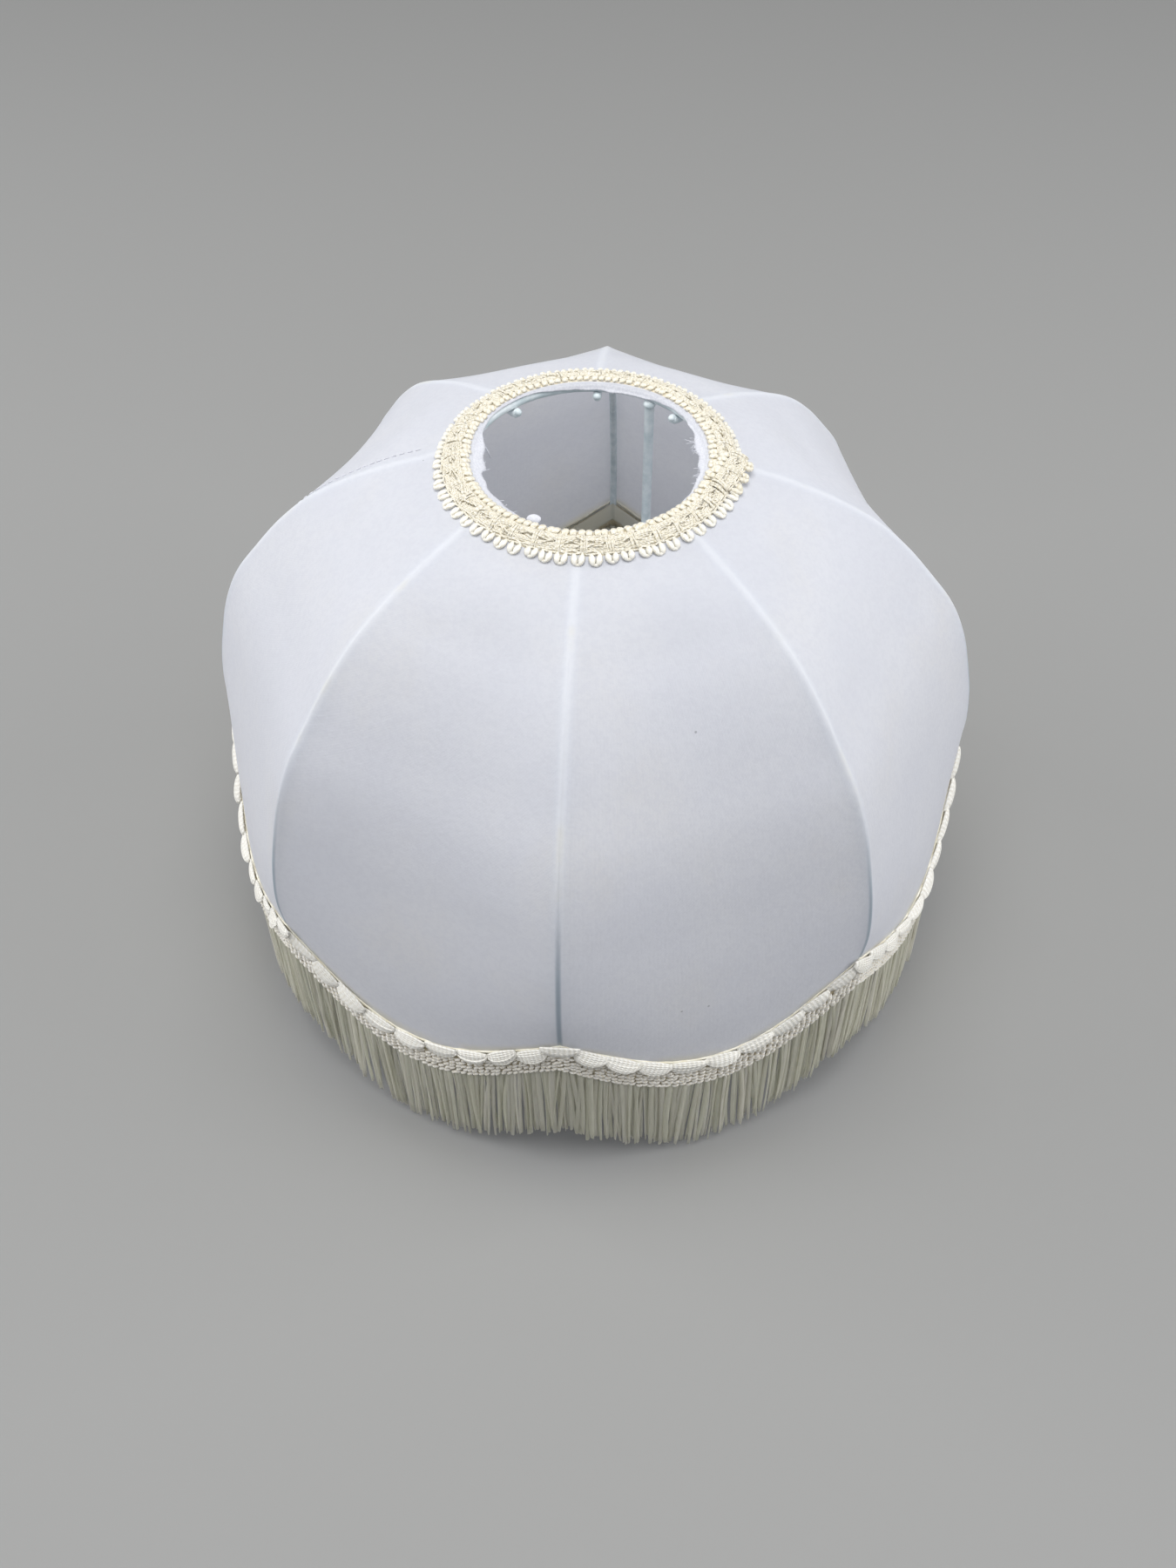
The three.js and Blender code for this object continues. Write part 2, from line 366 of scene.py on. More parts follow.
# ---------- shape of the cover ----------
def crest_table():
    """Radii and drops, evenly spaced along a centripetal Catmull-Rom curve through RIB_CREST."""
    points = np.array(RIB_CREST)
    points = np.vstack([2 * points[0] - points[1], points, 2 * points[-1] - points[-2]])
    samples = []
    for a, b, c, d in zip(points, points[1:], points[2:], points[3:]):
        knots = np.cumsum([0.0] + [np.linalg.norm(q - p) ** 0.5 for p, q in ((a, b), (b, c), (c, d))])
        t = np.linspace(knots[1], knots[2], CREST_SAMPLES, endpoint=False)[:, None]
        ab = a + (b - a) * (t - knots[0]) / (knots[1] - knots[0])
        bc = b + (c - b) * (t - knots[1]) / (knots[2] - knots[1])
        cd = c + (d - c) * (t - knots[2]) / (knots[3] - knots[2])
        first = ab + (bc - ab) * (t - knots[0]) / (knots[2] - knots[0])
        second = bc + (cd - bc) * (t - knots[1]) / (knots[3] - knots[1])
        samples.append(first + (second - first) * (t - knots[1]) / (knots[2] - knots[1]))
    samples = np.vstack(samples + [points[-2:-1]])
    length = np.r_[0, np.cumsum(np.linalg.norm(np.diff(samples, axis=0), axis=1))]
    even = np.linspace(0, length[-1], CREST_STEPS)
    return np.interp(even, length, samples[:, 0]), np.interp(even, length, samples[:, 1])


CREST_R, CREST_DROP = crest_table()


def cover_point(v, s):
    """Radius and height of the cover's outer face: v down the crest line, s across a gore."""
    v, s = np.broadcast_arrays(np.asarray(v, float), np.asarray(s, float))
    place = np.clip(v, 0, 1) * (len(CREST_R) - 1)
    index = np.arange(len(CREST_R))
    crest_r = np.interp(place, index, CREST_R)
    crest_drop = np.interp(place, index, CREST_DROP)
    straight = crest_r * math.cos(HALF) / np.cos(s * HALF)
    fade = np.clip((v - ROUND_UNTIL) / ROUND_FADE, 0, 1)
    rounded = 1 - fade * fade * (3 - 2 * fade)
    across = np.cos(s * math.pi / 2)
    low = np.clip((v - BULGE_FROM) / (1 - BULGE_FROM), 0, 1)
    draw = (crest_r - straight) * (1 - rounded)
    draw = np.hypot(draw, SOFT_DRAW) - SOFT_DRAW
    radius = crest_r - draw
    radius = radius - SADDLE * (1 - s * s) * np.sin(math.pi * v) * (1 - rounded)
    radius = radius + SCALLOP_BULGE * across * low * low
    height = CREST_Z - crest_drop - SCALLOP_DIP * across * v ** 3
    return radius, height


def gore_place(angle):
    """Which s, from -1 to 1, an azimuth has in its gore."""
    return np.mod(angle + math.pi / 2, 2 * HALF) / HALF - 1


def edge_line(angle, drop=0.0, out=0.0):
    """Points on the shade's lower edge, some way below it and out from it."""
    radius, height = cover_point(1.0, gore_place(angle))
    return polar(radius + out, angle, height - drop)


def even_edge_angles(step):
    """Azimuths about step apart along the lower edge."""
    fine = np.linspace(-math.pi / 2, 1.5 * math.pi, EDGE_SAMPLES)
    line = edge_line(fine[:-1] + TINY)
    line = np.vstack([line, line[:1]])
    length = np.r_[0, np.cumsum(np.linalg.norm(np.diff(line, axis=0), axis=1))]
    count = int(round(length[-1] / step))
    return np.interp(np.arange(count) * length[-1] / count, length, fine)


def wobble(angle, rate, size, seed):
    """Smooth closed random wave round the shade."""
    source = np.random.default_rng(seed)
    total = 0 * angle
    for k in range(1, 6):
        total = total + source.normal() * np.sin(rate * k * angle + source.uniform(0, PHASES)) / k
    return size * total


# ---------- materials ----------
def new_material(name):
    """A material, its shader and the object coordinates that its noises read."""
    material = bpy.data.materials.new(name)
    material.use_nodes = True
    shader = material.node_tree.nodes["Principled BSDF"]
    return material, shader, node(shader, "ShaderNodeTexCoord").outputs["Object"]


def set_shader(shader, roughness=None, specular=None, sheen=None, sheen_roughness=None, coat=None):
    """Numbers that are the same all over the surface, on the shader's own sockets."""
    values = {
        "Roughness": roughness,
        "Specular IOR Level": specular,
        "Sheen Weight": sheen,
        "Sheen Roughness": sheen_roughness,
        "Coat Weight": coat,
    }
    for socket, value in values.items():
        if value is not None:
            shader.inputs[socket].default_value = value


def node(beside, kind, **values):
    """A new node in the tree that a node or socket belongs to, with its inputs or settings."""
    made = beside.id_data.nodes.new(kind)
    for key, value in values.items():
        if key in made.inputs:
            made.inputs[key].default_value = value
        else:
            setattr(made, key, value)
    return made


def link(source, target):
    target.id_data.links.new(source, target)


def feed(socket, value):
    """Sets a socket to a number or a colour, or links it to another node's output."""
    if isinstance(value, (int, float)):
        socket.default_value = value
    elif isinstance(value, tuple):
        socket.default_value = (*value, 1.0)
    else:
        link(value, socket)


def maths(operation, a, b=0.0):
    beside = b if isinstance(a, float) else a
    made = node(beside, "ShaderNodeMath", operation=operation)
    feed(made.inputs[0], a)
    feed(made.inputs[1], b)
    return made.outputs[0]


def times(a, b):
    return maths("MULTIPLY", a, b)


def plus(a, b):
    return maths("ADD", a, b)


def inverse(a):
    return maths("SUBTRACT", 1.0, a)


def mix_colour(share, first, second):
    """Blends two colours; 6, 7 and 2 are the colour sockets of Blender's mix node."""
    made = node(share, "ShaderNodeMix", data_type="RGBA")
    feed(made.inputs[0], share)
    feed(made.inputs[6], first)
    feed(made.inputs[7], second)
    return made.outputs[2]


def tinted(colour, mask, share, tint):
    """The colour with a share of a tint over it where the mask is 1."""
    return mix_colour(times(mask, share), colour, tint)


def ramp(source, low, high):
    """0 at low, 1 at high, smooth between."""
    made = node(source, "ShaderNodeMapRange", interpolation_type="SMOOTHSTEP")
    feed(made.inputs[0], source)
    feed(made.inputs[1], low)
    feed(made.inputs[2], high)
    return made.outputs[0]


def read(shader, name, output="Fac"):
    """An attribute of the mesh, as a number or as a vector."""
    return node(shader, "ShaderNodeAttribute", attribute_name=name).outputs[output]


def noise(vector, scale, detail=3.0, roughness=0.55):
    made = node(vector, "ShaderNodeTexNoise", Scale=scale, Detail=detail, Roughness=roughness)
    link(vector, made.inputs["Vector"])
    return made.outputs["Fac"]


def bump(height, distance, shader, strength=1.0, under=None):
    made = node(height, "ShaderNodeBump", Strength=strength, Distance=distance)
    link(height, made.inputs["Height"])
    if under is not None:
        link(under, made.inputs["Normal"])
    if shader is not None:
        link(made.outputs[0], shader.inputs["Normal"])
    return made.outputs[0]


def see_through(shader, share, colour, clear=0.0):
    """Thin cloth or thread: part of the light goes through it, softened or clear."""
    back = node(shader, "ShaderNodeBsdfTranslucent")
    link(colour, back.inputs["Color"])
    both = node(shader, "ShaderNodeMixShader")
    both.inputs[0].default_value = share
    link(shader.outputs[0], both.inputs[1])
    link(back.outputs[0], both.inputs[2])
    if clear > 0:
        hole = node(shader, "ShaderNodeBsdfTransparent")
        part = node(shader, "ShaderNodeMixShader")
        part.inputs[0].default_value = clear
        link(both.outputs[0], part.inputs[1])
        link(hole.outputs[0], part.inputs[2])
        both = part
    link(both.outputs[0], shader.id_data.nodes["Material Output"].inputs["Surface"])


def cloth_material():
    material, shader, place = new_material("white_stretch_cloth")
    weave = read(shader, "weave", "Vector")
    rib_gap = read(shader, "rib_gap")
    down = read(shader, "down")
    seam_gap = read(shader, "seam_gap")

    cloudy = noise(place, 28.0, 4.0)
    colour = mix_colour(ramp(cloudy, 0.35, 0.7), (0.795, 0.808, 0.868), (0.825, 0.835, 0.884))
    aged = noise(place, 31.0, 5.0)
    colour = tinted(colour, ramp(aged, 0.5, 0.8), 0.3, (0.80, 0.785, 0.77))

    fuzz = noise(place, 900.0, 3.0)
    pilled = noise(place, 430.0, 3.0)
    mottled = ramp(plus(fuzz, pilled), 0.85, 1.2)
    colour = tinted(colour, mottled, 0.3, (0.735, 0.745, 0.81))

    line = inverse(ramp(rib_gap, 0.3, 1.8))
    thin = inverse(ramp(rib_gap, 0.25, 1.15))
    # Painted highlight: the cloth is lightened along the ribs in the upper half, standing in for light on
    # the ridge the wire raises.
    painted_rib_highlight = times(line, inverse(ramp(down, 0.5, 0.68)))
    # Painted shadow: a thin bluish-grey line along the ribs in the lower part, standing in for the rib
    # wire's shade seen through the cloth.
    lower = times(thin, ramp(down, 0.6, 0.86))
    colour = tinted(colour, painted_rib_highlight, 0.38, (0.93, 0.935, 0.96))
    colour = tinted(colour, lower, 0.85, (0.36, 0.43, 0.5))

    rusty = ramp(noise(place, 60.0, 2.0), 0.55, 0.75)
    rust = times(inverse(ramp(rib_gap, 0.0, 1.6)), rusty)
    rust = times(rust, inverse(ramp(down, 0.5, 0.8)))
    colour = tinted(colour, rust, 0.35, (0.82, 0.79, 0.66))

    soaked = ramp(noise(place, 45.0, 2.0), 0.3, 0.6)
    glue = times(ramp(down, 0.975, 0.999), soaked)
    colour = tinted(colour, glue, 0.7, (0.80, 0.76, 0.62))
    colour = tinted(colour, ramp(down, 1.04, 1.12), 0.5, (0.74, 0.7, 0.52))

    specks = node(place, "ShaderNodeTexVoronoi", Scale=55.0)
    link(place, specks.inputs["Vector"])
    speck = maths("LESS_THAN", specks.outputs["Distance"], 0.02)
    chosen = maths("GREATER_THAN", specks.outputs["Color"], 0.62)
    speck = times(speck, chosen)
    colour = tinted(colour, speck, 0.55, (0.3, 0.3, 0.33))
    link(colour, shader.inputs["Base Color"])

    parts = node(shader, "ShaderNodeSeparateXYZ")
    link(weave, parts.inputs[0])
    stitch_turn = times(parts.outputs[0], 2 * math.pi)
    course_turn = times(parts.outputs[1], 2 * math.pi / COURSE_PITCH)
    twill = maths("SINE", plus(stitch_turn, course_turn))
    wale = maths("SINE", stitch_turn)
    knit = plus(times(twill, 0.05), times(wale, 0.03))
    knit = plus(knit, times(fuzz, 0.9))
    knit = plus(knit, times(pilled, 0.8))
    fine = bump(knit, 0.0001, None, 0.9)
    slack = bump(noise(place, 26.0, 2.0), 0.0005, None, 0.15, fine)
    seam = ramp(seam_gap, 0.0, 0.9)
    bump(seam, 0.00025, shader, 0.5, slack)
    set_shader(shader, roughness=0.8, specular=0.25, sheen=0.15, sheen_roughness=0.5)
    see_through(shader, 0.4, colour)
    return material


def paint_material():
    material, shader, place = new_material("white_wire_paint")
    streak = noise(place, 260.0, 4.0)
    colour = mix_colour(ramp(streak, 0.3, 0.75), (0.55, 0.64, 0.67), (0.76, 0.82, 0.84))
    worn = ramp(noise(place, 700.0, 3.0), 0.68, 0.78)
    colour = tinted(colour, worn, 0.4, (0.4, 0.36, 0.3))
    link(colour, shader.inputs["Base Color"])
    rough = plus(0.3, times(streak, 0.25))
    link(rough, shader.inputs["Roughness"])
    set_shader(shader, specular=0.5, coat=0.25)
    bump(streak, 0.0003, shader, 0.6)
    return material


def thread_material(name, light, shadow, through, plies=2, pitch=1.1, relief=0.00014):
    """Satin thread: twisted plies with painted shade in their grooves, painted sheen streaks, patches of
    age, painted glints and a soft gloss.
    """
    material, shader, place = new_material(name)
    parts = node(shader, "ShaderNodeSeparateXYZ")
    link(read(shader, "thread", "Vector"), parts.inputs[0])
    turn = maths("ARCTAN2", parts.outputs[2], parts.outputs[1])
    phase = plus(times(parts.outputs[0], 2 * math.pi / pitch), times(turn, float(plies)))
    ply = plus(times(maths("SINE", phase), 0.5), 0.5)
    streak = noise(place, 1300.0, 2.0)
    painted_sheen_and_shade = plus(times(ply, 0.35), times(streak, 0.65))
    # Painted shade and sheen: the ply grooves and the fine streaks run from the shadow colour to the light
    # colour.
    colour = mix_colour(ramp(painted_sheen_and_shade, 0.22, 0.52), shadow, light)
    patch = noise(place, 110.0, 3.0)
    aged = tuple(0.45 * a + 0.55 * b for a, b in zip(light, shadow))
    colour = tinted(colour, ramp(patch, 0.45, 0.75), 0.5, aged)
    # Painted glints: near-white spots over the thread colour, standing in for the satin's sparkling
    # highlights.
    painted_glint = ramp(noise(place, 1900.0, 1.0), 0.56, 0.66)
    colour = tinted(colour, painted_glint, 0.6, (1.0, 0.995, 0.97))
    link(colour, shader.inputs["Base Color"])
    rough = plus(0.3, times(streak, 0.25))
    link(rough, shader.inputs["Roughness"])
    set_shader(shader, specular=0.6, sheen=0.2, sheen_roughness=0.35)
    fine = bump(streak, 0.00012, None, 0.7)
    bump(ply, relief, shader, 0.9, fine)
    see_through(shader, through, colour)
    return material


def plain_cloth_edge():
    """Bare cloth where it is turned in and frayed."""
    material, shader, place = new_material("frayed_cloth")
    fluff = noise(place, 1700.0, 3.0)
    colour = mix_colour(ramp(fluff, 0.3, 0.65), (0.76, 0.77, 0.83), (0.87, 0.88, 0.92))
    link(colour, shader.inputs["Base Color"])
    set_shader(shader, roughness=0.85)
    bump(fluff, 0.0001, shader, 0.7)
    see_through(shader, 0.3, colour)
    return material


def glue_material():
    material, shader, place = new_material("dried_glue")
    patch = noise(place, 350.0, 3.0)
    colour = mix_colour(ramp(patch, 0.3, 0.7), (0.78, 0.73, 0.57), (0.91, 0.89, 0.79))
    link(colour, shader.inputs["Base Color"])
    set_shader(shader, roughness=0.35, specular=0.5)
    bump(patch, 0.0003, shader, 0.5)
    return material


def strand_material():
    """Half clear cut cord, each strand a little different in colour and brightness."""
    material, shader, place = new_material("fringe_strand")
    tint = node(shader, "ShaderNodeSeparateXYZ")
    link(read(shader, "strand_tint", "Vector"), tint.inputs[0])
    colour = mix_colour(tint.outputs[0], (0.82, 0.82, 0.70), (0.89, 0.87, 0.80))
    colour = tinted(colour, tint.outputs[1], 0.35, (0.93, 0.92, 0.87))
    drawn = node(place, "ShaderNodeMapping")
    drawn.inputs["Scale"].default_value = (1.0, 1.0, 0.04)
    link(place, drawn.inputs["Vector"])
    streak = noise(drawn.outputs[0], 2600.0, 2.0)
    colour = tinted(colour, ramp(streak, 0.4, 0.7), 0.45, (0.66, 0.65, 0.55))
    link(colour, shader.inputs["Base Color"])
    set_shader(shader, roughness=0.38, specular=0.5)
    bump(streak, 0.0002, shader, 0.7)
    see_through(shader, 0.45, colour, STRAND_CLEAR)
    return material


CLOTH_LOOK = cloth_material()
PAINT_LOOK = paint_material()
GIMP_LOOK = thread_material("cream_gimp", (0.9, 0.855, 0.74), (0.74, 0.67, 0.48), 0.15, relief=0.0001)
PICOT_LOOK = thread_material("satin_picot", (0.92, 0.9, 0.83), (0.8, 0.75, 0.62), 0.15, 3, 5.0, 0.00006)
GIMP_CORE_LOOK = thread_material("gimp_core", (0.78, 0.7, 0.52), (0.62, 0.52, 0.34), 0.1)
BRAID_LOOK = thread_material("satin_braid", (0.98, 0.965, 0.91), (0.85, 0.81, 0.71), 0.15, 2, 1.5, 0.0001)
HEADING_LOOK = thread_material("chain_stitch", (0.99, 0.965, 0.91), (0.84, 0.77, 0.61), 0.12, relief=0.00008)
TAPE_LOOK = thread_material("heading_tape", (0.76, 0.67, 0.46), (0.58, 0.5, 0.33), 0.2)
STRAND_LOOK = strand_material()
FRAY_LOOK = plain_cloth_edge()
GLUE_LOOK = glue_material()


# ---------- wire frame ----------
def smooth_line(points, count):
    """Evenly spaced points along a rounded path through a few given ones."""
    points = np.asarray(points, float)
    for _ in range(4):
        quarter = 0.75 * points[:-1] + 0.25 * points[1:]
        later = 0.25 * points[:-1] + 0.75 * points[1:]
        inner = np.stack([quarter, later], 1).reshape(-1, points.shape[1])
        points = np.vstack([points[:1], inner, points[-1:]])
    length = np.r_[0, np.cumsum(np.linalg.norm(np.diff(points, axis=0), axis=1))]
    even = np.linspace(0, length[-1], count)
    return np.stack([np.interp(even, length, points[:, k]) for k in range(points.shape[1])], 1)


def section_normals(radius, height):
    """Unit normals, pointing out of the shade, of a line of radii and heights."""
    dr = np.gradient(radius)
    dz = np.gradient(height)
    size = np.hypot(dr, dz)
    return -dz / size, dr / size


def rib_angle(k):
    """Azimuth of rib k, counted from the front one, which is 0."""
    return -math.pi / 2 + 2 * k * HALF


def standing_wire(line, angle, radius, sides):
    """The path and the tube of a wire that lies in one upright plane through the axis."""
    centre = polar(line[:, 0], angle, line[:, 1])
    across = np.tile([-math.sin(angle), math.cos(angle), 0.0], (len(centre), 1))
    return centre, tube(centre, radius, sides, facing=across)


def add_wire(name, parts, stands_for):
    """A painted piece of the frame, in place of one of the CAD's."""
    piece = add_mesh(name, *join_parts(parts), PAINT_LOOK, "frame_paint")
    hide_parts(stands_for)


def build_top_ring():
    angle = full_turn(RING_STEPS, 0)
    line = polar(RING_RADIUS + 0 * angle, angle, RING_Z)
    add_wire("top_ring_wire", [tube(line, RING_WIRE, RING_SIDES, ring=True)], "top_ring")


def rib_line():
    """Radii and heights of a rib wire's centre, from its turned-in tip to the lower wire."""
    v = np.linspace(*RIB_SPAN, 60)
    radius, height = cover_point(v, 1.0)
    out_r, out_z = section_normals(radius, height)
    inset = CLOTH + RIB_WIRE + RIB_AIR
    radius = radius - out_r * inset
    height = height - out_z * inset
    end_r, end_z = cover_point(1.0, 1.0)
    radius = np.r_[[r for r, _ in RIB_TIP], radius, end_r - CLOTH - HEM_CLEAR - HEM_WIRE]
    height = np.r_[[CREST_Z - drop for _, drop in RIB_TIP], height, end_z - HEM_DROP + HEM_WIRE]
    return smooth_line(np.stack([radius, height], 1), RIB_STEPS)


def build_ribs():
    line = rib_line()
    for k in range(RIBS):
        centre, wire = standing_wire(line, rib_angle(k), RIB_WIRE, WIRE_SIDES)
        paint_drop = ball(centre[0], (1.0 + 0.25 * rng.random(3)) * [1.0, 1.0, 0.9])
        weld = ball(centre[6] + [0, 0, 0.4], RIB_WELD)
        add_wire(f"rib_wire_{k + 1}", [wire, paint_drop, weld], f"rib_{k + 1}")


def hem_wire_line(angle):
    radius, height = cover_point(1.0, gore_place(angle))
    return polar(radius - CLOTH - HEM_CLEAR - HEM_WIRE, angle, height - HEM_DROP)


def build_hem_wires():
    for k in range(RIBS):
        angle = rib_angle(k) + np.linspace(HEM_GAP, 2 * HALF - HEM_GAP, HEM_STEPS)
        wire = tube(hem_wire_line(angle), HEM_WIRE, WIRE_SIDES)
        add_wire(f"lower_wire_{k + 1}", [wire], f"hem_wire_{k + 1}")


def strut_line():
    """Radii and heights down one strut: under the ring, down, and in along the washer."""
    low = FITTER_THICKNESS + STRUT_WIRE
    path = [(STRUT_RADIUS, RING_Z - RING_WIRE - 0.1), (STRUT_RADIUS, STRUT_STRAIGHT_TO),
            (STRUT_RADIUS - 0.6, low + STRUT_BEND), (STRUT_RADIUS - STRUT_BEND, low + 0.3),
            (STRUT_FLAT_FROM, low), (STRUT_FOOT, low)]
    return smooth_line(path, STRUT_STEPS)


def build_struts():
    line = strut_line()
    for k, degrees in enumerate(STRUT_ANGLES):
        centre, wire = standing_wire(line, math.radians(degrees), STRUT_WIRE, STRUT_SIDES)
        parts = [wire, ball(centre[0] + [0, 0, -0.2], STRUT_WELD), ball(centre[-4], STRUT_FOOT_WELD)]
        add_wire(f"fitter_strut_wire_{k + 1}", parts, f"fitter_strut_{k + 1}")


def build_washer():
    edge = WASHER_EDGE
    profile = [
        (FITTER_HOLE, edge), (FITTER_HOLE + edge, 0), (FITTER_OUTER - edge, 0), (FITTER_OUTER, edge),
        (FITTER_OUTER, FITTER_THICKNESS - edge), (FITTER_OUTER - edge, FITTER_THICKNESS),
        (FITTER_HOLE + edge, FITTER_THICKNESS), (FITTER_HOLE, FITTER_THICKNESS - edge),
    ]
    corners = len(profile)
    points, faces = [], []
    for i in range(FITTER_STEPS):
        angle = 2 * math.pi * i / FITTER_STEPS
        points.extend((r * math.cos(angle), r * math.sin(angle), z) for r, z in profile)
        this, after = i * corners, (i + 1) % FITTER_STEPS * corners
        for j in range(corners):
            m = (j + 1) % corners
            faces.append((this + j, after + j, after + m, this + m))
    piece = add_mesh("fitter_washer", points, faces, PAINT_LOOK, "frame_paint", smooth=False)
    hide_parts("fitter_ring")


# ---------- cover ----------
def hem_fold(rows):
    """What "down" goes on by, past 1, on the last rows, where the cloth is folded inside."""
    fold = np.zeros(rows)
    fold[-HEM_ROWS:] = np.linspace(*HEM_FOLD, HEM_ROWS)
    return fold


def gore_columns():
    """Values of s, closer together beside the ribs."""
    t = np.linspace(-1, 1, GORE_COLUMNS)[:-1]
    return np.sign(t) * (1 - (1 - np.abs(t)) ** COLUMN_CROWDING)


def cover_rows(s):
    """Radii, heights and v of the cloth's rows at one s: over the ring, down, round the hem."""
    wrap = RING_WIRE + CLOTH + 0.1
    turn = np.radians(np.linspace(*RING_WRAP, RING_ROWS))
    radius = RING_RADIUS + wrap * np.cos(turn)
    height = RING_Z + wrap * np.sin(turn)
    v = np.linspace(COVER_TOP, 1, COVER_ROWS)
    side_r, side_z = cover_point(v, s)
    hem_r = side_r[-1] - CLOTH - HEM_CLEAR - HEM_WIRE
    hem_z = side_z[-1] - HEM_DROP
    under = np.radians(np.linspace(0, -180, HEM_ROWS - HEM_UPRIGHT_ROWS))
    size = HEM_WIRE + HEM_CLEAR + CLOTH
    under_r = hem_r + size * np.cos(under)
    under_z = hem_z + size * np.sin(under)
    inside_z = hem_z + np.linspace(1.0, HEM_TURN_UP, HEM_UPRIGHT_ROWS)
    radius = np.r_[radius, side_r, under_r, 0 * inside_z + hem_r - size]
    height = np.r_[height, side_z, under_z, inside_z]
    down = np.r_[0 * turn, v, 1 + 0 * under, 1 + 0 * inside_z]
    return radius, height, down


def weave_corners(turns, lengths):
    """Cloth coordinates at the corners of the cover's faces: whole threads round it, length down it."""
    count, rows = lengths.shape
    around = np.r_[turns, turns[0] + 2 * math.pi] * KNIT_COLUMNS / (2 * math.pi)
    lengths = np.vstack([lengths, lengths[:1]])
    corners = []
    for i in range(count):
        for j in range(rows - 1):
            for column, row in ((i, j), (i + 1, j), (i + 1, j + 1), (i, j + 1)):
                corners.append((around[column], lengths[column, row], 0.0))
    return corners


def build_cover():
    columns = gore_columns()
    points, rib_gap, down, seam_gap, lengths, turns = [], [], [], [], [], []
    for k in range(RIBS):
        middle = rib_angle(k) + HALF
        for s in columns:
            angle = middle + s * HALF
            radius, height, v = cover_rows(s)
            gap = radius * (1 - abs(s)) * HALF
            out_r, out_z = section_normals(radius, height)
            below_top = np.clip(v * TOP_FADE, 0, 1)
            above_hem = np.clip((1 - v) * HEM_FADE, 0, 1)
            seam = np.abs(radius * (SEAM_AZIMUTH - angle) - SEAM_BEHIND)
            ridge = RIB_RIDGE * np.exp(-(gap / RIB_RIDGE_WIDTH) ** 2) * below_top * above_hem
            lift = ridge - SEAM_GROOVE * np.exp(-(seam / SEAM_WIDTH) ** 2) * below_top
            radius = radius + out_r * lift
            height = height + out_z * lift
            points.append(polar(radius, angle, height))
            rib_gap.append(gap)
            down.append(v + hem_fold(len(v)))
            seam_gap.append(seam)
            lengths.append(np.r_[0, np.cumsum(np.hypot(np.diff(radius), np.diff(height)))])
            turns.append(angle)
    faces = grid_faces(len(points[0]), len(points), ring=True)
    piece = add_mesh("cloth_cover", np.concatenate(points), faces, CLOTH_LOOK, "cover_cloth")
    add_attribute(piece, "rib_gap", np.concatenate(rib_gap))
    add_attribute(piece, "down", np.concatenate(down))
    add_attribute(piece, "seam_gap", np.concatenate(seam_gap))
    add_attribute(piece, "weave", weave_corners(np.array(turns), np.array(lengths)), "CORNER")
    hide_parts(*[f"cover_gore_{k + 1}" for k in range(RIBS)])
    return piece


def build_seam_stitches():
    """A row of short machine stitches along the one seam."""
    parts = []
    for v in np.arange(*STITCHES_FROM_TO, STITCH_PITCH):
        ends = []
        for t in (v, v + STITCH_LENGTH):
            radius = float(cover_point(t, 0.99)[0])
            angle = SEAM_AZIMUTH - SEAM_BEHIND / radius
            r, z = cover_point(t, gore_place(angle))
            ends.append(polar(np.array(r + 0.02), angle, np.array(z + 0.01)))
        line = np.linspace(ends[0], ends[1], 5)
        bulge = np.sin(np.linspace(0, math.pi, 5))[:, None]
        line = line + unit(line * [1, 1, 0.6]) * 0.1 * bulge
        parts.append(tube(line, STITCH_THREAD, THREAD_SIDES))
    return add_threads("cover_seam_stitches", parts, FRAY_LOOK, "cover_cloth")


def turned_reach(angle):
    """How far, in millimetres, the cut cloth reaches in past the top of the ring."""
    reach = 0.6 + 0.35 * np.abs(wobble(angle, 3, 0.5, 3)) + 0.3 * np.abs(wobble(angle, 17, 0.6, 5))
    for degrees, width, size in FLAPS:
        away = np.angle(np.exp(1j * (angle - math.radians(degrees))))
        ragged = 0.85 + 0.12 * np.sin(23 * angle + degrees) + 0.04 * np.sin(151 * angle)
        reach = reach + size * np.exp(-(away / width) ** 2) * ragged
    bare = np.angle(np.exp(1j * (angle - math.radians(BARE_RING))))
    return reach * (1 - 0.85 * np.exp(-(bare / BARE_WIDTH) ** 4))


def build_turned_edge():
    """Ragged edge of the cloth where it is turned over the top ring."""
    angle = full_turn(TURN_COLUMNS, 0)
    size = RING_WIRE + TURN_AIR
    points = []
    for a, reach in zip(angle, turned_reach(angle)):
        for share in np.linspace(0, 1, TURN_ROWS):
            run = share * (reach + TURN_START)
            bend = math.pi / 2 + min(run / size, TURN_HUG)
            free = max(0.0, run - TURN_HUG * size)
            r = RING_RADIUS + size * math.cos(bend) - 0.85 * free
            z = RING_Z + size * math.sin(bend) - 0.45 * free - 0.04 * free * free
            points.append((r * math.cos(a), r * math.sin(a), z))
    faces = grid_faces(TURN_ROWS, TURN_COLUMNS, ring=True)
    edge = add_mesh("cover_turned_edge", points, faces, FRAY_LOOK, "cover_cloth")
    thick = edge.modifiers.new("thickness", "SOLIDIFY")
    thick.thickness = TURN_THICK * MM
    thick.offset = 0
    return edge


def fibre(start, lean, curl, reach, thick):
    """A short loose thread, straight at first and then curling away."""
    t = np.linspace(0, 1, 6)[:, None]
    return tube(start + lean * reach * t + curl * reach * t * t, thick, 5)


